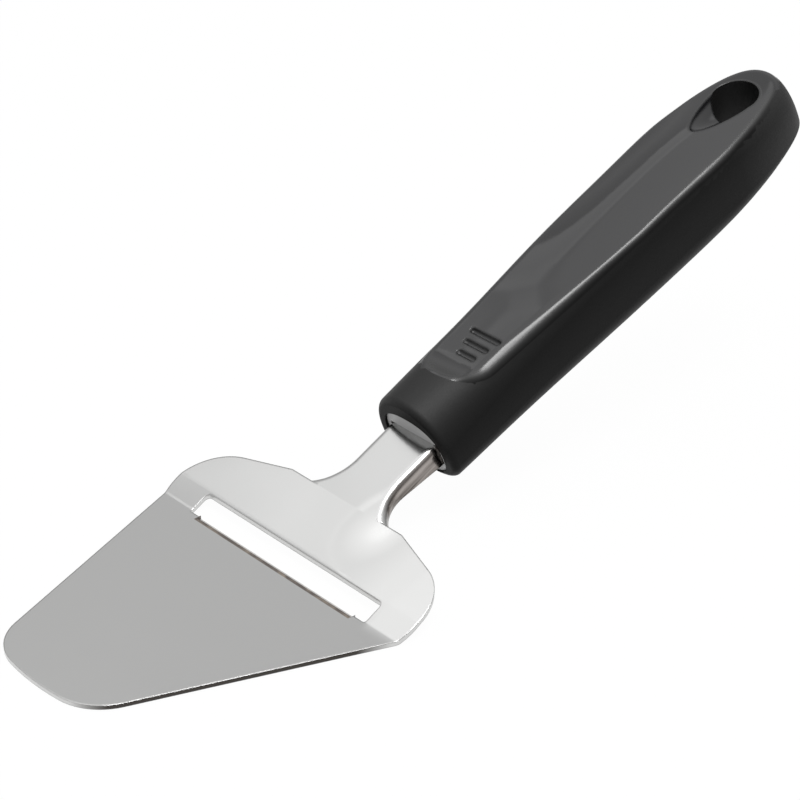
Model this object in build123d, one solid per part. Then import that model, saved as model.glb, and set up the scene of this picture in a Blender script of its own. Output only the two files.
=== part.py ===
from build123d import *

import math
import os

# Cheese slicer in millimetres.
# X runs from the blade's front edge to the handle's end, Y across the blade, Z up.
# The origin is the middle of the cutting edge, on the flat underside of the front plate.

# Blade sheet and front plate
sheet = 1.0
plate_length = 61.8
plate_half_width = 38.0
plate_corner_half_width = 15.9
plate_front_bulge = 2.1
plate_corner_radius = 12.5

# Cutting edge and slot
slot_width = 4.65
slot_half_length = 28.5
slot_corner_radius = 1.2
cutting_half_length = 25.3
edge_relief = 0.55
edge_relief_radius = 0.5
edge_bevel = 1.2
edge_land = 0.12

# Raised rear part and shoulders
ear_run = 5.2
ear_rise = 2.7
ear_bend_radius = 1.6
shoulder_corner_reach = 12.1
shoulder_radius = 12.2
crease_reach = 19.4
crease_rise = 7.3
crease_bend_radius = 0.8
crease_half_width = 17.7

# Neck, bent into a channel with turned-down sides
neck_reach = 38.0
neck_rise = 16.3
neck_half_width = 7.4
neck_fillet_radius = 9.8
neck_fillet_turn = 75.0
flange_depth_at_crease = 2.6
flange_depth_at_mouth = 5.6
flange_depth_at_tang_end = 3.2
neck_corner_radius = 1.7
mouth_bend_radius = 30.0

# Tang inside the handle
tang_length = 54.0
tang_hole_radius = 2.2
tang_hole_setback = 16.0
tang_hole_pitch = 24.0
tang_hole_count = 2

# Handle grip, along its own axis from the mouth
handle_pitch = 23.0
grip_length = 121.7
grip_half_width = 12.9
grip_crown = 9.5
grip_crown_swell = 1.9
grip_waist_level = 4.6
grip_belly = 10.5
grip_belly_swell = 2.6
grip_end_round = 30.0
grip_mouth_radius = 1.5

# Top panel: dished under the thumb, bulged under the palm, falling again to the end
panel_start = 11.5
panel_scoop_run = 8.0
panel_bulge_reach = 88.0
panel_thumb_level = 6.45
panel_bulge_level = 9.8
panel_end_level = 7.2
panel_cutter_half_width = 16.0
panel_thumb_side_level = 7.7
panel_bulge_side_level = 5.5
panel_end_side_level = 7.7
panel_clear_height = 30.0
panel_rim_radius = 2.2

# Thumb grooves
groove_count = 3
groove_start = 19.8
groove_pitch = 3.1
groove_half_length = 2.1
groove_growth = 0.9
groove_radius = 0.75
groove_depth = 0.65

# Hanging hole and its teardrop scoop
hang_hole_radius = 5.6
hang_hole_setback = 12.05
scoop_length = 15.25
scoop_radius = 5.65
scoop_axis_level = 9.5
scoop_fall = 5.0

# Inner core
core_half_width = 8.8
core_top = 4.8
core_bottom = 10.0
core_length = 66.0
core_recess = 0.6
core_taper_share = 0.90
core_fullness_share = 0.66

# Fits, how far cuts overrun, how near a place an edge counts as lying there, and the upward share of a
# face's normal from which the face counts as a top
moulded_gap = 0.15
overrun = 5.0
pick_tolerance = 0.1
facing_up_share = 0.5

# Places along the handle: share of its length, then shares of the half width, of the crown's swell and of
# the belly's swell, and how far the crown fills its corner
grip_station_shares = (
    (0.00, 0.928, 0.00, 0.00, 0.570),
    (0.10, 0.920, 0.09, 0.18, 0.635),
    (0.22, 0.919, 0.18, 0.37, 0.705),
    (0.36, 0.947, 0.43, 0.58, 0.795),
    (0.52, 0.982, 0.70, 0.75, 0.850),
    (0.66, 0.997, 0.91, 0.84, 0.860),
    (0.78, 1.000, 1.00, 0.48, 0.855),
)
belly_fullness_share = 0.64
# Places in the tapered end, as shares of its length
grip_end_shares = (0.34, 0.56, 0.74, 0.87, 0.95, 0.99)
# How slowly the end closes: its width, its crown and its straight rising belly
width_closing_share = 0.25
crown_closing_share = 0.13
belly_closing_share = 0.85
crown_end_fullness_share = 0.62
scoop_fullness_share = 0.42

handle_angle = math.radians(handle_pitch)
handle_axis = Vector(math.cos(handle_angle), 0, math.sin(handle_angle))
handle_up = Vector(-math.sin(handle_angle), 0, math.cos(handle_angle))
mouth_point = Vector(neck_reach, 0, neck_rise + sheet)


def in_handle(along, across, up):
    """A point given along the handle's axis, across it and up from the tang's top face."""
    return mouth_point + handle_axis * along + Vector(0, across, 0) + handle_up * up


def side_face(outline):
    """A face in the upright middle plane, from points given as reach and height."""
    return make_face(Polyline(*[(reach, 0, height) for reach, height in outline], close=True))


def spread(face, half_width):
    """An upright face thickened to both sides of the middle plane."""
    return extrude(face, amount=half_width, dir=(0, 1, 0), both=True)


# Blade

def blade_top_line():
    """The sheet's top face seen from the side, from the front plate to the tang's end."""
    tang_end = mouth_point + handle_axis * tang_length
    return [
        (-plate_length - overrun, sheet),
        (0, sheet),
        (ear_run, sheet + ear_rise),
        (crease_reach, sheet + crease_rise),
        (neck_reach, sheet + neck_rise),
        (tang_end.X, tang_end.Z),
    ]


def lowered(line, depths):
    """The same line moved square to itself, by a depth given for each of its points."""
    moved = []
    for index, (reach, height) in enumerate(line):
        before = line[max(index - 1, 0)]
        after = line[min(index + 1, len(line) - 1)]
        first = math.atan2(height - before[1], reach - before[0]) if index else None
        last = math.atan2(after[1] - height, after[0] - reach) if index < len(line) - 1 else None
        first = last if first is None else first
        last = first if last is None else last
        middle = (first + last) / 2
        depth = depths[index] / math.cos((last - first) / 2)
        moved.append((reach + depth * math.sin(middle), height - depth * math.cos(middle)))
    return moved


def bent_strip():
    """The whole sheet seen from the side, with rounded bends, wider than the blade."""
    top = blade_top_line()
    bottom = lowered(top, [sheet] * len(top))
    bends = [ear_bend_radius, ear_bend_radius, crease_bend_radius, mouth_bend_radius]
    upper = FilletPolyline(*[(x, 0, z) for x, z in top], radius=bends)
    outer_bends = [
        ear_bend_radius + sheet,
        ear_bend_radius - sheet,
        crease_bend_radius + sheet,
        mouth_bend_radius - sheet,
    ]
    lower = FilletPolyline(*[(x, 0, z) for x, z in bottom], radius=outer_bends)
    ends = [Line(upper @ 0, lower @ 0), Line(upper @ 1, lower @ 1)]
    return spread(make_face(upper.edges() + lower.edges() + ends), plate_half_width + shoulder_radius)


def side_line_half_width(reach):
    """Half the blade's width on the straight side edges, at a distance behind the cutting edge."""
    corner_reach = plate_length - plate_front_bulge
    slope = (plate_half_width - plate_corner_half_width) / corner_reach
    return plate_half_width + slope * reach


def plan_face():
    """The blade's outline from above: front arc, tapered sides, round shoulders and the crease line."""
    corner = (-(plate_length - plate_front_bulge), plate_corner_half_width)
    shoulder = (shoulder_corner_reach, side_line_half_width(shoulder_corner_reach))
    kink = (crease_reach, crease_half_width)
    front = ThreePointArc((corner[0], corner[1]), (-plate_length, 0), (corner[0], -corner[1]))
    left = Polyline(corner, shoulder, kink)
    right = Polyline(*[(x, -y) for x, y in (corner, shoulder, kink)])
    back = Line((kink[0], kink[1]), (kink[0], -kink[1]))
    face = make_face(front.edges() + left.edges() + right.edges() + back.edges())
    corners = face.vertices().filter_by(lambda point: abs(point.X - corner[0]) < pick_tolerance)
    face = fillet(corners, plate_corner_radius)
    shoulders = face.vertices().filter_by(lambda point: abs(abs(point.Y) - shoulder[1]) < pick_tolerance)
    return fillet(shoulders, shoulder_radius)


def neck_plan(inset):
    """The neck and tang from above, with hollow fillets from the crease, drawn in by an inset."""
    centre = (crease_reach + neck_fillet_radius, neck_half_width + neck_fillet_radius)
    radius = neck_fillet_radius + inset
    turn = math.radians(neck_fillet_turn)
    start = (centre[0] - radius * math.sin(turn), centre[1] - radius * math.cos(turn))
    middle = (centre[0] - radius * math.sin(turn / 2), centre[1] - radius * math.cos(turn / 2))
    end = (centre[0], centre[1] - radius)
    front = (crease_reach - overrun, start[1])
    last = ((mouth_point + handle_axis * tang_length).X + overrun, end[1])
    edges = []
    for side in (1, -1):
        corners = [(x, side * y) for x, y in (front, start, middle, end, last)]
        edges += Line(corners[0], corners[1]).edges()
        edges += ThreePointArc(*corners[1:4]).edges()
        edges += Line(corners[3], corners[4]).edges()
    edges += Line((front[0], -front[1]), front).edges()
    edges += Line((last[0], -last[1]), last).edges()
    return make_face(edges)


def neck_side(inset, lift):
    """The neck and tang from the side: top face less an inset, and the flanges' lower edge less a lift."""
    crease, mouth, tang_end = blade_top_line()[3:]
    pitch = math.atan2(mouth[1] - crease[1], mouth[0] - crease[0])
    first = (crease[0] - lift * math.cos(pitch), crease[1] - lift * math.sin(pitch))
    top = [first, mouth, tang_end]
    depths = [flange_depth_at_crease, flange_depth_at_mouth, flange_depth_at_tang_end]
    upper_points = lowered(top, [inset] * len(top))
    lower_points = lowered(top, [depth + lift for depth in depths])
    upper = FilletPolyline(*[(x, 0, z) for x, z in upper_points], radius=mouth_bend_radius - inset)
    lower = Polyline(*[(x, 0, z) for x, z in lower_points])
    ends = Line(upper @ 0, lower @ 0).edges() + Line(upper @ 1, lower @ 1).edges()
    return make_face(upper.edges() + lower.edges() + ends)


def neck_block(inset, lift):
    """The solid neck and tang under the sheet's top face, with round upper rims, drawn in by an inset."""
    block = spread(neck_side(inset, lift), crease_half_width) & extrude(neck_plan(inset), amount=grip_length)
    top = block.faces().filter_by(lambda face: face.normal_at().Z > facing_up_share)
    rims = top.edges().filter_by(runs_along)
    return fillet(rims, neck_corner_radius - inset)


def runs_along(edge):
    """Whether an edge runs along the neck and not across it."""
    return abs(edge.position_at(0).X - edge.position_at(1).X) > sheet / 2


def slot_cut():
    """The cutting slot with round rear corners, and the small reliefs at the cutting edge's ends."""
    height = ear_rise + crease_rise
    slot = Pos(slot_width / 2, 0) * Rectangle(slot_width, 2 * slot_half_length)
    rear = slot.vertices().filter_by(lambda point: point.X > slot_width / 2)
    slot = fillet(rear, slot_corner_radius)
    relief_length = slot_half_length - cutting_half_length
    reliefs = []
    for side in (1, -1):
        middle = side * (cutting_half_length + relief_length / 2)
        relief = Pos(0, middle) * RectangleRounded(2 * edge_relief, relief_length, edge_relief_radius)
        reliefs.append(relief)
    shape = slot + reliefs
    return extrude(Pos(0, 0, -overrun) * shape, amount=height + 2 * overrun)


def edge_bevel_cut():
    """The wedge ground off the top of the front plate along the cutting edge."""
    rise = (sheet - edge_land) / edge_bevel
    outline = [
        (-edge_bevel, sheet),
        (edge_relief, edge_land - rise * edge_relief),
        (edge_relief, sheet + edge_bevel),
        (-edge_bevel, sheet + edge_bevel),
    ]
    return spread(side_face(outline), cutting_half_length)


def tang_holes(radius):
    """Round holes through the tang, or the posts that fill them, square to the handle's axis."""
    holes = []
    for index in range(tang_hole_count):
        along = tang_hole_setback + index * tang_hole_pitch
        place = Plane(origin=in_handle(along, 0, -2 * sheet), x_dir=handle_axis, z_dir=handle_up)
        holes.append(extrude(place * Circle(radius), amount=3 * sheet))
    return holes


def slicer_blade():
    """One bent sheet: front plate, slot, shoulders, neck channel and tang."""
    plan = plan_face() + neck_plan(neck_corner_radius + sheet)
    plate = bent_strip() & extrude(plan, amount=grip_length)
    channel = neck_block(0, 0) - neck_block(sheet, overrun)
    blade = plate + channel
    blade = blade - slot_cut() - edge_bevel_cut()
    blade = blade - tang_holes(tang_hole_radius)
    return blade


# Handle

def quarter(start, corner, end, fullness):
    """A quarter of a section: a curve that fills its corner by a share."""
    return Bezier(start, start + (corner - start) * fullness, end + (corner - end) * fullness, end)


def egg_section(along, half_width, crown, belly, level, crown_fullness, belly_fullness):
    """A closed section square to the handle: a full crown above its widest level, a round belly below."""
    top = in_handle(along, 0, crown)
    bottom = in_handle(along, 0, -belly)
    sides = [in_handle(along, side * half_width, -level) for side in (1, -1)]
    upper = [in_handle(along, side * half_width, crown) for side in (1, -1)]
    lower = [in_handle(along, side * half_width, -belly) for side in (1, -1)]
    edges = [
        quarter(sides[0], upper[0], top, crown_fullness),
        quarter(top, upper[1], sides[1], crown_fullness),
        quarter(sides[1], lower[1], bottom, belly_fullness),
        quarter(bottom, lower[0], sides[0], belly_fullness),
    ]
    return make_face(edges)


def grip_body():
    """The grip's full outer form before its top is dished: a loft that swells and rounds off at its end."""
    sections = []
    for along_share, width_share, crown_share, belly_share, fullness in grip_station_shares:
        sections.append(egg_section(
            along_share * grip_length, width_share * grip_half_width,
            grip_crown + crown_share * grip_crown_swell, grip_belly + belly_share * grip_belly_swell,
            grip_waist_level, fullness, belly_fullness_share,
        ))
    for end_share in grip_end_shares:
        round_share = 1 - end_share ** 2
        end_fullness = fullness + (crown_end_fullness_share - fullness) * end_share
        crown = grip_waist_level + grip_crown + grip_crown_swell
        belly = grip_belly + grip_belly_swell - grip_waist_level
        sections.append(egg_section(
            grip_length - grip_end_round * (1 - end_share),
            grip_half_width * round_share ** width_closing_share,
            crown * round_share ** crown_closing_share - grip_waist_level,
            belly * (1 - end_share) ** belly_closing_share + grip_waist_level,
            grip_waist_level, end_fullness, belly_fullness_share,
        ))
    return loft(sections)


def panel_patch(first, last, rows):
    """What lies above a smooth piece of the panel, from rows of levels in its middle and at its sides."""
    points = []
    for index, (middle_level, side_level) in enumerate(rows):
        along = first + (last - first) * index / (len(rows) - 1)
        points.append([
            in_handle(along, panel_cutter_half_width, side_level),
            in_handle(along, 0, 2 * middle_level - side_level),
            in_handle(along, -panel_cutter_half_width, side_level),
        ])
    return extrude(Face.make_bezier_surface(points), amount=panel_clear_height, dir=handle_up)


def panel_cutters():
    """What the top panel takes off: its scooped start, the dish that becomes a bulge, and the fall behind."""
    thumb = (panel_thumb_level, panel_thumb_side_level)
    bulge = (panel_bulge_level, panel_bulge_side_level)
    end = (panel_end_level, panel_end_side_level)
    dish_start = panel_start + panel_scoop_run
    first = panel_start - panel_scoop_run / 2
    climb = (grip_crown - panel_thumb_level) * ((dish_start - first) / panel_scoop_run) ** 2
    start = (panel_thumb_level + climb, panel_thumb_side_level + climb)
    return [
        panel_patch(first, dish_start, [start, thumb, thumb]),
        panel_patch(dish_start, panel_bulge_reach, [thumb, thumb, bulge, bulge]),
        panel_patch(panel_bulge_reach, grip_length + overrun, [bulge, bulge, end, end]),
    ]


def groove_cuts():
    """Round-bottomed thumb grooves across the panel, longer away from the blade."""
    grooves = []
    for index in range(groove_count):
        along = groove_start + index * groove_pitch
        half_length = groove_half_length + index * groove_growth
        up = panel_thumb_level + groove_radius - groove_depth
        middle = in_handle(along, 0, up)
        place = Plane(origin=middle, x_dir=handle_axis, z_dir=(0, 1, 0))
        grooves.append(place * Cylinder(groove_radius, 2 * half_length))
        for side in (1, -1):
            grooves.append(Pos(*in_handle(along, side * half_length, up)) * Sphere(groove_radius))
    return grooves


def hang_hole_cut():
    """The round hanging hole, right through, square to the handle's axis."""
    along = grip_length - hang_hole_setback
    bottom = -(grip_belly + grip_belly_swell + overrun)
    place = Plane(origin=in_handle(along, 0, bottom), x_dir=handle_axis, z_dir=handle_up)
    return extrude(place * Circle(hang_hole_radius), amount=panel_bulge_level - bottom + overrun)


def scoop_cut():
    """The rounded gouge that deepens from a point on the panel down to the hanging hole."""
    middle = in_handle(grip_length - hang_hole_setback, 0, scoop_axis_level)
    fall = math.radians(scoop_fall)
    forward = handle_up * math.sin(fall) - handle_axis * math.cos(fall)
    down = handle_up * -math.cos(fall) - handle_axis * math.sin(fall)
    tip = middle + forward * scoop_length
    floor = middle + down * scoop_radius
    curve = quarter(tip, tip + floor - middle, floor, scoop_fullness_share)
    outline = make_face([curve, Line(floor, middle), Line(middle, tip)])
    return revolve(outline, axis=Axis(middle, forward))


def core_body(gap, start, end):
    """The core's outer form, grown by a gap, between two places along the handle."""
    sections = []
    for along in (start, end):
        share = 1 - (1 - core_taper_share) * along / core_length
        middle = (core_bottom - core_top) / 2
        half_height = (core_top + core_bottom) / 2
        sections.append(egg_section(
            along, core_half_width * share + gap,
            half_height * share + gap - middle, half_height * share + gap + middle,
            middle, core_fullness_share, core_fullness_share,
        ))
    return loft(sections)


def tang_space():
    """The room that the core leaves for the tang: its channel with a thin gap all round but on top."""
    length = tang_length + moulded_gap
    outer_half = neck_half_width + moulded_gap
    inner_half = neck_half_width - sheet - moulded_gap
    web = sheet + moulded_gap
    corner = neck_corner_radius - sheet + moulded_gap
    outer = [
        (-overrun, 0), (length, 0),
        (length, -flange_depth_at_tang_end - moulded_gap), (0, -flange_depth_at_mouth - moulded_gap),
        (-overrun, -flange_depth_at_mouth - moulded_gap),
    ]
    side = make_face(Polyline(*[in_handle(along, 0, up) for along, up in outer], close=True))
    island = [
        (-inner_half, -core_bottom), (-inner_half, -web - corner), (-inner_half + corner, -web),
        (inner_half - corner, -web), (inner_half, -web - corner), (inner_half, -core_bottom),
    ]
    middle = make_face(Polyline(*[in_handle(-overrun, across, up) for across, up in island], close=True))
    return spread(side, outer_half) - extrude(middle, amount=length + 2 * overrun, dir=handle_axis)


def handle_core():
    """The inner moulding that grips the tang, with posts through the tang's holes."""
    core = core_body(0, core_recess, core_length)
    room = tang_space()
    for post in tang_holes(tang_hole_radius - moulded_gap):
        room = room - post
    return core - room


def is_mouth_rim(edge):
    """Whether an edge lies in the grip's mouth, where the handle begins."""
    return (edge.position_at(0.5) - mouth_point).dot(handle_axis) < pick_tolerance


def is_panel_rim(edge):
    """Whether an edge runs along the top panel's border, where it meets the grip's sides."""
    point = edge.position_at(0.5) - mouth_point
    along = point.dot(handle_axis)
    beside = abs(point.Y) > pick_tolerance and point.dot(handle_up) > panel_bulge_side_level
    return beside and panel_start - panel_scoop_run / 2 < along < grip_length - pick_tolerance


def handle_grip():
    """The outer moulding: dished top panel, grooves, hanging hole and the pocket for the core."""
    body = grip_body()
    body = fillet(body.edges().filter_by(is_mouth_rim), grip_mouth_radius)
    body = body - panel_cutters()
    body = fillet(body.edges().filter_by(is_panel_rim), panel_rim_radius)
    body = body - groove_cuts()
    body = body - hang_hole_cut() - scoop_cut()
    return body - core_body(moulded_gap, -overrun, core_length)


os.makedirs("parts", exist_ok=True)
export_step(slicer_blade(), "parts/slicer_blade.step")
export_step(handle_core(), "parts/handle_core.step")
export_step(handle_grip(), "parts/handle_grip.step")
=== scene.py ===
import math

import bpy
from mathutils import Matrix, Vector


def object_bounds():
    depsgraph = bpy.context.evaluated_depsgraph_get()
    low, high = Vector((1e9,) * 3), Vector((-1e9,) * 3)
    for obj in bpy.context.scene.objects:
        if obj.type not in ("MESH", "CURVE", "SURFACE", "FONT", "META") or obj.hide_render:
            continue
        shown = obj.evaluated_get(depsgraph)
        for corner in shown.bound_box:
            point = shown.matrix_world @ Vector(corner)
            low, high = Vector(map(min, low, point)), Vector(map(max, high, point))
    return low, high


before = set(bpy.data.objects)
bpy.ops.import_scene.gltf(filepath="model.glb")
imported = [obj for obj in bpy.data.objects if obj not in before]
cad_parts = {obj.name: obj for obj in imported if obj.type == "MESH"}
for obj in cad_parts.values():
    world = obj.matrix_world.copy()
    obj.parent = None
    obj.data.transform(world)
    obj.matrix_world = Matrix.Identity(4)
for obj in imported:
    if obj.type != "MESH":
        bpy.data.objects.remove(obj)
cad_low, cad_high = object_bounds()

# Camera of the photograph: where it stands in metres, how it looks in degrees, its lens in millimetres
camera_place = Vector((-0.2975, -0.3723, 0.3119))
camera_azimuth = -41.74
camera_elevation = 29.71
camera_lens = 122.3
camera_sensor = 36.0
camera_clip_start = 0.01

# The handle's own frame, as the solids have it
mouth_point = Vector((0.0380, 0.0, 0.0173))
handle_pitch = math.radians(23.0)
handle_axis = Vector((math.cos(handle_pitch), 0, math.sin(handle_pitch)))
handle_up = Vector((-math.sin(handle_pitch), 0, math.cos(handle_pitch)))

# The grip's top panel: its levels in the middle and at a side distance, each under the thumb, under the palm
# and at the end, how deep its polish goes over the rim, and the place of that material among the grip's
panel_start = 0.0115
panel_scoop_run = 0.008
panel_bulge_reach = 0.088
panel_reach = 0.1267
panel_side = 0.016
panel_middle_levels = (0.00645, 0.0098, 0.0072)
panel_side_levels = (0.0077, 0.0055, 0.0077)
panel_tolerance = 0.00004
grip_crown = 0.0095
rim_depth = 0.0016
polished_slot = 1

# Hollows in the panel: where each starts and ends along the handle, half its width, and its depth
groove_zone = (0.0185, 0.0272, 0.006)
groove_depth = 0.0014
scoop_zone = (0.0940, 0.1097, 0.0062)
scoop_depth = 0.0045

# The blade's ground cutting strip: middle and half its run, half its length, middle and half its height
strip_middle = -0.0007
strip_half_run = 0.0013
strip_half_length = 0.0253
strip_level = 0.0006
strip_half_height = 0.00045

# Where the pressed sheet leans outwards, as shares of its normal's length: in an oval beside the neck's
# hollow corner, on the shoulder, and where the ear turns into the plate
oval_middle = (0.0178, 0.0128)
oval_half = (0.0105, 0.0085)
oval_fade = (0.10, 1.25)
oval_lean = 0.36
shoulder_fade = (0.0130, 0.0250)
shoulder_start = (-0.0010, 0.0020)
shoulder_lean = 0.24
ear_fade = (0.0260, 0.0300)
ear_start = (-0.0060, 0.0005)
ear_lean = 0.26

# The pressing shows on the near side, and on the far side by a share of it
middle_change = (-0.001, 0.001)
far_side_share = 0.0

# Satin steel: its colour and gloss, its rounded edges, and the heights of its grain and of its waves
steel_colour = (0.62, 0.62, 0.615)
steel_roughness = (0.15, 0.21)
sheet_edge_round = 0.0005
sheet_grain = 0.0000006
sheet_wave = 0.00016
grain_stretch = (0.08, 1, 1)

# The sheet's sides, with painted shade and painted reflection: painted dark at the plate, the steel's own
# colour at the shoulder, and painted streaks of reflection along the neck's slope
painted_side_angles = (35, 70)
plate_side_painted_shade = (0.06, 0.055, 0.05)
shoulder_side_start = (-0.008, -0.001)
neck_side_start = (0.018, 0.023)
neck_slope = math.radians(25.8)
dark_painted_reflection = (0.09, 0.078, 0.07)
light_painted_reflection = (0.36, 0.33, 0.31)
streak_stretch = 14
streak_range = (0.35, 0.7)

# The cutting strip's brown specks, mostly painted reflection
dark_painted_speck = (0.20, 0.175, 0.16)
light_painted_speck = (0.5, 0.43, 0.36)
speck_stretch = (1, 0.5, 1)
speck_range = (0.45, 0.75)

# The soft shoulder of the grip's top panel: where it starts across, between two places along, how wide its
# turn is and how far it leans
border_run = (0.026, 0.066)
border_starts = (0.0036, 0.0092)
border_width = 0.0036
border_lean = 0.70

# Polished black: its colour, the turns from the handle's up between which it becomes grained, and how
# strongly and how sharply it mirrors where it is polished and on its rim
polished_colour = (0.011, 0.011, 0.012)
polish_angles = (9, 36)
polish_sheen = 0.76
polish_roughness = (0.05, 0.09)
rim_angles = (25, 66)
rim_sheen = 1.0
rim_roughness = (0.34, 0.42)
rim_grain = 0.000005
moulded_edge_round = 0.0009

# Grained black, with a painted sheen: it shines most about one direction, least beside it, and more again
# towards the grip's end as a painted rim light
grained_colour = (0.006, 0.006, 0.006)
grained_roughness = (0.50, 0.64)
painted_sheen_direction = (handle_up + Vector((0, 0.12, 0))).normalized()
sheen_angles = (30, 80)
least_sheen = 0.10
most_sheen = 0.46
end_run = (0.096, 0.122)
painted_end_sheen = 0.32
moulded_grain = 0.00004

# Light grey plastic of the core
core_colour = (0.42, 0.42, 0.42)
core_roughness = (0.40, 0.55)
core_grain = 0.000008

# Noise textures: turns per metre, octaves, and the weight of each finer octave
streak_noise = (900, 4, 0.6)
speck_noise = (700, 3, 0.6)
sheet_smudges = (60, 2, 0.5)
sheet_grain_noise = (4000, 3, 0.5)
sheet_wave_noise = (38, 1, 0.5)
moulded_noise = (2500, 3, 0.6)
finger_smudges = (90, 2, 0.5)
core_noise = (1800, 2, 0.5)

# How finely edges are rounded, and from which angle they stay sharp
bevel_samples = 6
sharp_angle = math.radians(25)

# Floor, and how much of its white is its own glow to the camera and in mirrors
floor_half_width = 30.0
floor_drop = 0.0002
floor_colour = (0.9, 0.9, 0.9)
floor_roughness = 0.9
floor_glow_share = 0.97

# The studio dome's grey at heights from the horizon, 0, to straight overhead, 1
world_levels = ((0.30, 0.40), (0.50, 0.69), (0.755, 0.64), (0.80, 1.08), (1.0, 1.30))

# Area lights: the direction they are seen in from a target, distance, width and height, and brightness
light_target = Vector((0.06, 0, 0.04))
area_lights = {
    "overhead": ((-0.08, -0.33, 1), 1.0, (0.46, 0.46), 7.0),
    "behind": ((0.193, 0.652, 0.733), 1.2, (0.42, 0.20), 0.53),
    "beside": ((-0.09, 0.65, 0.755), 1.2, (0.20, 0.40), 0.38),
}


def new_material(name):
    """A new material with a Principled shader, and that shader."""
    material = bpy.data.materials.new(name)
    material.use_nodes = True
    shader = material.node_tree.nodes["Principled BSDF"]
    return material, shader


def add_node(material, kind, **settings):
    """A node of a kind in a material, with its settings."""
    node = material.node_tree.nodes.new(kind)
    for name, value in settings.items():
        setattr(node, name, value)
    return node


def link(material, source, target):
    """A link between two sockets of a material."""
    material.node_tree.links.new(source, target)


def object_place(material, scale=(1, 1, 1)):
    """The place on the object, stretched along its axes."""
    place = add_node(material, "ShaderNodeTexCoord")
    mapping = add_node(material, "ShaderNodeMapping")
    mapping.inputs["Scale"].default_value = scale
    link(material, place.outputs["Object"], mapping.inputs["Vector"])
    return mapping.outputs["Vector"]


def place_along_neck(material, stretch):
    """The place on the object, turned into the neck's slope and stretched along the neck."""
    place = add_node(material, "ShaderNodeTexCoord")
    mapping = add_node(material, "ShaderNodeMapping", vector_type="TEXTURE")
    mapping.inputs["Rotation"].default_value = (0, -neck_slope, 0)
    mapping.inputs["Scale"].default_value = (stretch, 1, 1)
    link(material, place.outputs["Object"], mapping.inputs["Vector"])
    return mapping.outputs["Vector"]


def place_parts(material):
    """The place on the object, parted into X, Y and Z."""
    parts = add_node(material, "ShaderNodeSeparateXYZ")
    link(material, object_place(material), parts.inputs["Vector"])
    return parts


def place_along(material):
    """How far a place lies along the handle from its mouth."""
    offset = add_node(material, "ShaderNodeVectorMath", operation="SUBTRACT")
    link(material, object_place(material), offset.inputs[0])
    offset.inputs[1].default_value = mouth_point
    along = add_node(material, "ShaderNodeVectorMath", operation="DOT_PRODUCT")
    link(material, offset.outputs["Vector"], along.inputs[0])
    along.inputs[1].default_value = handle_axis
    return along.outputs["Value"]


def noise(material, place, settings):
    """A noise texture's value at a place, from its scale, its octaves and their weight."""
    scale, octaves, weight = settings
    texture = add_node(material, "ShaderNodeTexNoise")
    texture.inputs["Scale"].default_value = scale
    texture.inputs["Detail"].default_value = octaves
    texture.inputs["Roughness"].default_value = weight
    link(material, place, texture.inputs["Vector"])
    return texture.outputs["Fac"]


def mapped(material, value, given, wanted):
    """A value carried from one range to another, and held at the ends."""
    spread = add_node(material, "ShaderNodeMapRange")
    spread.inputs["From Min"].default_value, spread.inputs["From Max"].default_value = given
    spread.inputs["To Min"].default_value, spread.inputs["To Max"].default_value = wanted
    link(material, value, spread.inputs["Value"])
    return spread.outputs["Result"]


def smooth_step(material, value):
    """A value from 0 to 1 with soft ends, held beyond them."""
    step = add_node(material, "ShaderNodeMapRange", interpolation_type="SMOOTHSTEP")
    link(material, value, step.inputs["Value"])
    return step.outputs["Result"]


def math_node(material, operation, *values):
    """The result of a sum of a kind, on sockets or numbers."""
    node = add_node(material, "ShaderNodeMath", operation=operation)
    for socket, value in zip(node.inputs, values):
        if isinstance(value, (int, float)):
            socket.default_value = value
        else:
            link(material, value, socket)
    return node.outputs["Value"]


def blend(material, share, first, second):
    """A value that goes from a first to a second with a share; each is a number or a socket."""
    return math_node(material, "MULTIPLY_ADD", share, math_node(material, "SUBTRACT", second, first), first)


def socket_named(sockets, identifier):
    """The socket with an identifier, for a node whose sockets share their names."""
    return next(socket for socket in sockets if socket.identifier == identifier)


def tint(material, share, first, second):
    """A colour that goes from a first to a second with a share; each is a tuple or a socket."""
    mix = add_node(material, "ShaderNodeMix", data_type="RGBA")
    for identifier, colour in (("A_Color", first), ("B_Color", second)):
        socket = socket_named(mix.inputs, identifier)
        if isinstance(colour, tuple):
            socket.default_value = (*colour, 1)
        else:
            link(material, colour, socket)
    link(material, share, socket_named(mix.inputs, "Factor_Float"))
    return socket_named(mix.outputs, "Result_Color")


def bump(material, shader, height, base_normal=None):
    """A bump on a shader from a height in metres, over a given normal."""
    bumps = add_node(material, "ShaderNodeBump")
    bumps.inputs["Distance"].default_value = 1.0
    link(material, height, bumps.inputs["Height"])
    if base_normal is not None:
        link(material, base_normal, bumps.inputs["Normal"])
    link(material, bumps.outputs["Normal"], shader.inputs["Normal"])


def facing_share(material, normal, direction, angles):
    """From 1 to 0 as a normal turns away from a direction, between two angles in degrees."""
    dot = add_node(material, "ShaderNodeVectorMath", operation="DOT_PRODUCT")
    link(material, normal, dot.inputs[0])
    dot.inputs[1].default_value = direction
    size = math_node(material, "ABSOLUTE", dot.outputs["Value"])
    near, far = (math.cos(math.radians(angle)) for angle in angles)
    return mapped(material, size, (far, near), (0, 1))


def rounded_normal(material, radius):
    """The surface's normal with its edges rounded by a radius."""
    rounded = add_node(material, "ShaderNodeBevel")
    rounded.samples = bevel_samples
    rounded.inputs["Radius"].default_value = radius
    return rounded.outputs["Normal"]


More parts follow.
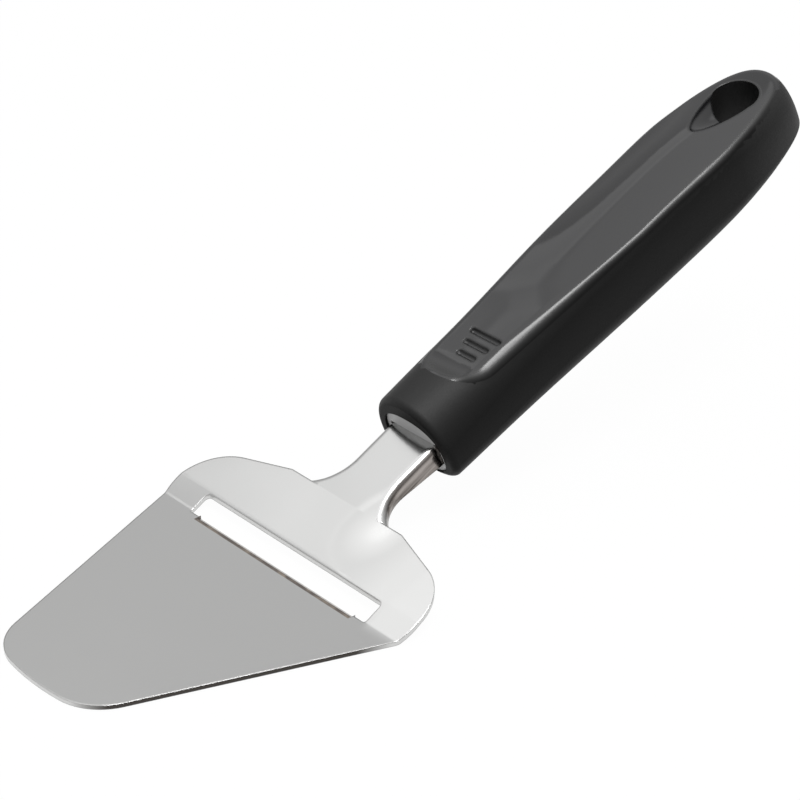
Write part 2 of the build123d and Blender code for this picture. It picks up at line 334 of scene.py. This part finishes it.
def leaned_normal(material, parts, normal, lean):
    """A normal that leans outwards from the middle plane by a share of its length."""
    outwards = add_node(material, "ShaderNodeCombineXYZ")
    side = math_node(material, "SIGN", parts.outputs["Y"])
    link(material, math_node(material, "MULTIPLY", lean, side), outwards.inputs["Y"])
    total = add_node(material, "ShaderNodeVectorMath", operation="ADD")
    link(material, normal, total.inputs[0])
    link(material, outwards.outputs["Vector"], total.inputs[1])
    unit = add_node(material, "ShaderNodeVectorMath", operation="NORMALIZE")
    link(material, total.outputs["Vector"], unit.inputs[0])
    return unit.outputs["Vector"]


def oval_share(material, reach, width):
    """From 1 to 0, softly, as a place leaves the oval beside the neck's hollow corner."""
    squares = []
    for value, middle, half in zip((reach, width), oval_middle, oval_half):
        offset = math_node(material, "DIVIDE", math_node(material, "SUBTRACT", value, middle), half)
        squares.append(math_node(material, "POWER", offset, 2))
    distance = math_node(material, "SQRT", math_node(material, "ADD", *squares))
    return smooth_step(material, mapped(material, distance, oval_fade, (1, 0)))


def side_lean(material, reach, width, fade, start, lean):
    """A lean that grows outwards across the blade, behind a start."""
    outwards = mapped(material, width, fade, (0, lean))
    return math_node(material, "MULTIPLY", outwards, mapped(material, reach, start, (0, 1)))


def pressed_lean(material, parts):
    """How far the sheet leans outwards at a place, for the soft forms of its pressing."""
    reach = parts.outputs["X"]
    width = math_node(material, "ABSOLUTE", parts.outputs["Y"])
    oval = math_node(material, "MULTIPLY", oval_share(material, reach, width), oval_lean)
    shoulder = side_lean(material, reach, width, shoulder_fade, shoulder_start, shoulder_lean)
    ear = side_lean(material, reach, width, ear_fade, ear_start, ear_lean)
    lean = math_node(material, "MAXIMUM", oval, math_node(material, "MAXIMUM", shoulder, ear))
    flatness = mapped(material, parts.outputs["Y"], middle_change, (1, far_side_share))
    return math_node(material, "MULTIPLY", lean, flatness)


def sheet_side_painted_light(material, reach):
    """The colour of the sheet's sides, with painted shade and reflection: painted dark at the plate, the
    steel's own colour at the shoulder, painted streaks of reflection on the neck.
    """
    streaks = noise(material, place_along_neck(material, streak_stretch), streak_noise)
    neck_painted_reflection = tint(material, mapped(material, streaks, streak_range, (0, 1)), dark_painted_reflection, light_painted_reflection)
    on_shoulder = mapped(material, reach, shoulder_side_start, (0, 1))
    side_colour = tint(material, on_shoulder, plate_side_painted_shade, steel_colour)
    on_neck = mapped(material, reach, neck_side_start, (0, 1))
    return tint(material, on_neck, side_colour, neck_painted_reflection)


def on_cutting_strip(material, parts):
    """Whether a place lies on the ground strip along the cutting edge, as 1 or 0."""
    along = math_node(material, "COMPARE", parts.outputs["X"], strip_middle, strip_half_run)
    across = math_node(material, "COMPARE", parts.outputs["Y"], 0, strip_half_length)
    height = math_node(material, "COMPARE", parts.outputs["Z"], strip_level, strip_half_height)
    return math_node(material, "MULTIPLY", math_node(material, "MULTIPLY", along, across), height)


def cutting_strip_painted_reflection(material):
    """The ground strip's brown specked colour, mostly painted reflection."""
    specks = noise(material, object_place(material, speck_stretch), speck_noise)
    return tint(material, mapped(material, specks, speck_range, (0, 1)), dark_painted_speck, light_painted_speck)


def satin_steel():
    """Satin stainless sheet: fine grain, soft smudges, painted shade and reflection on its sides, and a dark
    specked cutting strip, mostly painted reflection.
    """
    material, shader = new_material("satin_steel")
    shader.inputs["Metallic"].default_value = 1.0
    parts = place_parts(material)
    normal = rounded_normal(material, sheet_edge_round)
    # The sides' colour is painted shade and painted reflection, in place of what the steel mirrors
    on_painted_side = facing_share(material, normal, (0, 1, 0), painted_side_angles)
    colour = tint(material, on_painted_side, steel_colour, sheet_side_painted_light(material, parts.outputs["X"]))
    # The cutting strip's brown specks are mostly painted reflection
    colour = tint(material, on_cutting_strip(material, parts), colour, cutting_strip_painted_reflection(material))
    link(material, colour, shader.inputs["Base Color"])
    smudges = noise(material, object_place(material), sheet_smudges)
    link(material, mapped(material, smudges, (0, 1), steel_roughness), shader.inputs["Roughness"])
    grain = noise(material, object_place(material, grain_stretch), sheet_grain_noise)
    waves = noise(material, object_place(material), sheet_wave_noise)
    grain_height = math_node(material, "MULTIPLY", grain, sheet_grain)
    height = math_node(material, "MULTIPLY_ADD", waves, sheet_wave, grain_height)
    bump(material, shader, height, leaned_normal(material, parts, normal, pressed_lean(material, parts)))
    return material


def soft_shoulder(material, along, parts):
    """How far the panel's near border leans outwards: wide beside the thumb, narrow towards the palm."""
    start = mapped(material, along, border_run, border_starts)
    nearness = math_node(material, "MULTIPLY", parts.outputs["Y"], -1)
    share = math_node(material, "DIVIDE", math_node(material, "SUBTRACT", nearness, start), border_width)
    return math_node(material, "MULTIPLY", smooth_step(material, share), border_lean)


def gloss_share(material, normal, along, parts):
    """Where the dished top is polished, as 1, and where it is grained, as 0."""
    scoop_start, _, scoop_half_width = scoop_zone
    facing = facing_share(material, normal, handle_up, polish_angles)
    in_width = math_node(material, "COMPARE", parts.outputs["Y"], 0, scoop_half_width)
    behind_start = math_node(material, "GREATER_THAN", along, scoop_start)
    return math_node(material, "MAXIMUM", facing, math_node(material, "MULTIPLY", in_width, behind_start))


def polished_black():
    """Black plastic of the dished top, polished where it faces up and grained towards its rim."""
    material, shader = new_material("polished_black")
    parts = place_parts(material)
    along = place_along(material)
    lean = soft_shoulder(material, along, parts)
    normal = leaned_normal(material, parts, rounded_normal(material, moulded_edge_round), lean)
    gloss = gloss_share(material, normal, along, parts)
    link(material, tint(material, gloss, grained_colour, polished_colour), shader.inputs["Base Color"])
    # Painted highlight on the rim: its specular level fades as the face turns from the handle's up
    on_rim = facing_share(material, normal, handle_up, rim_angles)
    sheen = mapped(material, on_rim, (0, 1), (least_sheen, rim_sheen))
    link(material, blend(material, gloss, sheen, polish_sheen), shader.inputs["Specular IOR Level"])
    grain = noise(material, object_place(material), moulded_noise)
    smudges = noise(material, object_place(material), finger_smudges)
    matt = mapped(material, grain, (0, 1), rim_roughness)
    polish = mapped(material, smudges, (0, 1), polish_roughness)
    link(material, blend(material, gloss, matt, polish), shader.inputs["Roughness"])
    depth = blend(material, gloss, rim_grain, 0)
    bump(material, shader, math_node(material, "MULTIPLY", grain, depth), normal)
    return material


def grained_black():
    """Fine spark-eroded black plastic of the grip's sides and collar, with a painted sheen."""
    material, shader = new_material("grained_black")
    shader.inputs["Base Color"].default_value = (*grained_colour, 1)
    geometry = add_node(material, "ShaderNodeNewGeometry")
    # Painted sheen: the specular level follows the face's direction and grows towards the grip's end
    facing = facing_share(material, geometry.outputs["Normal"], painted_sheen_direction, sheen_angles)
    sheen = mapped(material, facing, (0, 1), (least_sheen, most_sheen))
    at_end = mapped(material, place_along(material), end_run, (0, painted_end_sheen))
    link(material, math_node(material, "ADD", sheen, at_end), shader.inputs["Specular IOR Level"])
    grain = noise(material, object_place(material), moulded_noise)
    link(material, mapped(material, grain, (0, 1), grained_roughness), shader.inputs["Roughness"])
    bump(material, shader, math_node(material, "MULTIPLY", grain, moulded_grain))
    return material


def grey_plastic():
    """Light grey moulded plastic of the core."""
    material, shader = new_material("light_grey_plastic")
    shader.inputs["Base Color"].default_value = (*core_colour, 1)
    grain = noise(material, object_place(material), core_noise)
    link(material, mapped(material, grain, (0, 1), core_roughness), shader.inputs["Roughness"])
    bump(material, shader, math_node(material, "MULTIPLY", grain, core_grain))
    return material


def dress(node, *materials):
    """Gives a node of the frame its materials, and smooth shading that keeps its edges."""
    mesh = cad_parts[node].data
    mesh.materials.clear()
    for material in materials:
        mesh.materials.append(material)
    for polygon in mesh.polygons:
        polygon.use_smooth = True
    mesh.set_sharp_from_angle(angle=sharp_angle)


def ease(share):
    """A smooth step from 0 to 1."""
    share = min(max(share, 0), 1)
    return share * share * (3 - 2 * share)


def panel_height(along, across):
    """How high the top panel lies over the handle's axis at a place along and across it."""
    dish_start = panel_start + panel_scoop_run
    rise = ease((along - dish_start) / (panel_bulge_reach - dish_start))
    fall = ease((along - panel_bulge_reach) / (panel_reach - panel_bulge_reach))
    levels = []
    for thumb, bulge, end in (panel_middle_levels, panel_side_levels):
        levels.append(thumb + (bulge - thumb) * rise + (end - bulge) * fall)
    middle_level, side_level = levels
    scoop = max((dish_start - along) / panel_scoop_run, 0)
    climb = (grip_crown - panel_middle_levels[0]) * scoop ** 2
    return middle_level + (side_level - middle_level) * (across / panel_side) ** 2 + climb


def in_zone(along, across, depth, zone, zone_depth):
    """Whether a place lies in a zone of the panel, and no deeper under it than the zone goes."""
    start, end, half_width = zone
    return start < along < end and abs(across) < half_width and depth < zone_depth


def lies_on_panel(point):
    """Whether a point of the grip belongs to its polished top: the panel, its grooves or its scoop."""
    offset = point - mouth_point
    along = offset.dot(handle_axis)
    height = offset.dot(handle_up)
    depth = panel_height(along, point.y) - height
    if depth < -panel_tolerance or along < panel_start - rim_depth:
        return False
    if depth < rim_depth:
        return True
    in_groove = in_zone(along, point.y, depth, groove_zone, groove_depth)
    return in_groove or in_zone(along, point.y, depth, scoop_zone, scoop_depth)


def polish_panel(node):
    """Gives the polished material to the polygons of the grip's top."""
    mesh = node.data
    polished = [lies_on_panel(vertex.co) for vertex in mesh.vertices]
    for polygon in mesh.polygons:
        if all(polished[index] for index in polygon.vertices):
            polygon.material_index = polished_slot


def floor_white():
    """A matt white that mostly glows to the camera, in mirrors and through glass, with a faint shadow."""
    material, shader = new_material("floor_white")
    shader.inputs["Base Color"].default_value = (*floor_colour, 1)
    shader.inputs["Roughness"].default_value = floor_roughness
    shader.inputs["Specular IOR Level"].default_value = 0
    glow = add_node(material, "ShaderNodeEmission")
    glow.inputs["Color"].default_value = (1, 1, 1, 1)
    rays = add_node(material, "ShaderNodeLightPath")
    seen = rays.outputs["Is Camera Ray"]
    for kind in ("Is Glossy Ray", "Is Transmission Ray"):
        seen = math_node(material, "MAXIMUM", seen, rays.outputs[kind])
    mix = add_node(material, "ShaderNodeMixShader")
    share_socket, matt_socket, glow_socket = mix.inputs
    link(material, math_node(material, "MULTIPLY", seen, floor_glow_share), share_socket)
    link(material, shader.outputs["BSDF"], matt_socket)
    link(material, glow.outputs["Emission"], glow_socket)
    output = material.node_tree.nodes["Material Output"]
    link(material, mix.outputs["Shader"], output.inputs["Surface"])
    return material


def make_floor():
    """A wide pale floor just under the blade."""
    half = floor_half_width
    level = cad_low.z - floor_drop
    mesh = bpy.data.meshes.new("floor")
    corners = [(-half, -half, level), (half, -half, level), (half, half, level), (-half, half, level)]
    mesh.from_pydata(corners, [], [(0, 1, 2, 3)])
    mesh.materials.append(floor_white())
    floor = bpy.data.objects.new("floor", mesh)
    bpy.context.scene.collection.objects.link(floor)


def make_world():
    """A studio dome: mid grey near the horizon, bright overhead."""
    world = bpy.data.worlds.new("studio")
    bpy.context.scene.world = world
    world.use_nodes = True
    nodes = world.node_tree.nodes
    links = world.node_tree.links
    background = nodes["Background"]
    background.inputs["Strength"].default_value = 1.0
    place = nodes.new("ShaderNodeTexCoord")
    parts = nodes.new("ShaderNodeSeparateXYZ")
    ramp = nodes.new("ShaderNodeValToRGB")
    links.new(place.outputs["Generated"], parts.inputs["Vector"])
    links.new(parts.outputs["Z"], ramp.inputs["Fac"])
    links.new(ramp.outputs["Color"], background.inputs["Color"])
    stops = ramp.color_ramp.elements
    while len(stops) < len(world_levels):
        stops.new(1.0)
    for stop, (height, level) in zip(stops, world_levels):
        stop.position = height
        stop.color = (level, level, level, 1)


def make_area_light(name, direction, distance, size, brightness):
    """A soft light that the object sees in a direction, with a width, a height and a brightness."""
    width, height = size
    data = bpy.data.lights.new(name, "AREA")
    data.shape = "RECTANGLE"
    data.size = width
    data.size_y = height
    data.energy = math.pi * width * height * brightness
    light = bpy.data.objects.new(name, data)
    direction = Vector(direction).normalized()
    light.location = light_target + direction * distance
    light.rotation_mode = "QUATERNION"
    light.rotation_quaternion = (-direction).to_track_quat("-Z", "Y")
    bpy.context.scene.collection.objects.link(light)


def make_camera():
    """The photograph's camera."""
    azimuth = math.radians(camera_azimuth)
    elevation = math.radians(camera_elevation)
    back = Vector((
        math.sin(azimuth) * math.cos(elevation),
        -math.cos(azimuth) * math.cos(elevation),
        math.sin(elevation),
    ))
    data = bpy.data.cameras.new("camera")
    data.lens = camera_lens
    data.sensor_width = camera_sensor
    data.clip_start = camera_clip_start
    camera = bpy.data.objects.new("camera", data)
    camera.location = camera_place
    camera.rotation_mode = "QUATERNION"
    camera.rotation_quaternion = (-back).to_track_quat("-Z", "Y")
    bpy.context.scene.collection.objects.link(camera)
    bpy.context.scene.camera = camera


dress("slicer_blade", satin_steel())
dress("handle_core", grey_plastic())
dress("handle_grip", grained_black(), polished_black())
polish_panel(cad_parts["handle_grip"])
make_floor()
make_world()
for light_name, light_settings in area_lights.items():
    make_area_light(light_name, *light_settings)
make_camera()
bpy.context.scene.view_settings.view_transform = "Standard"
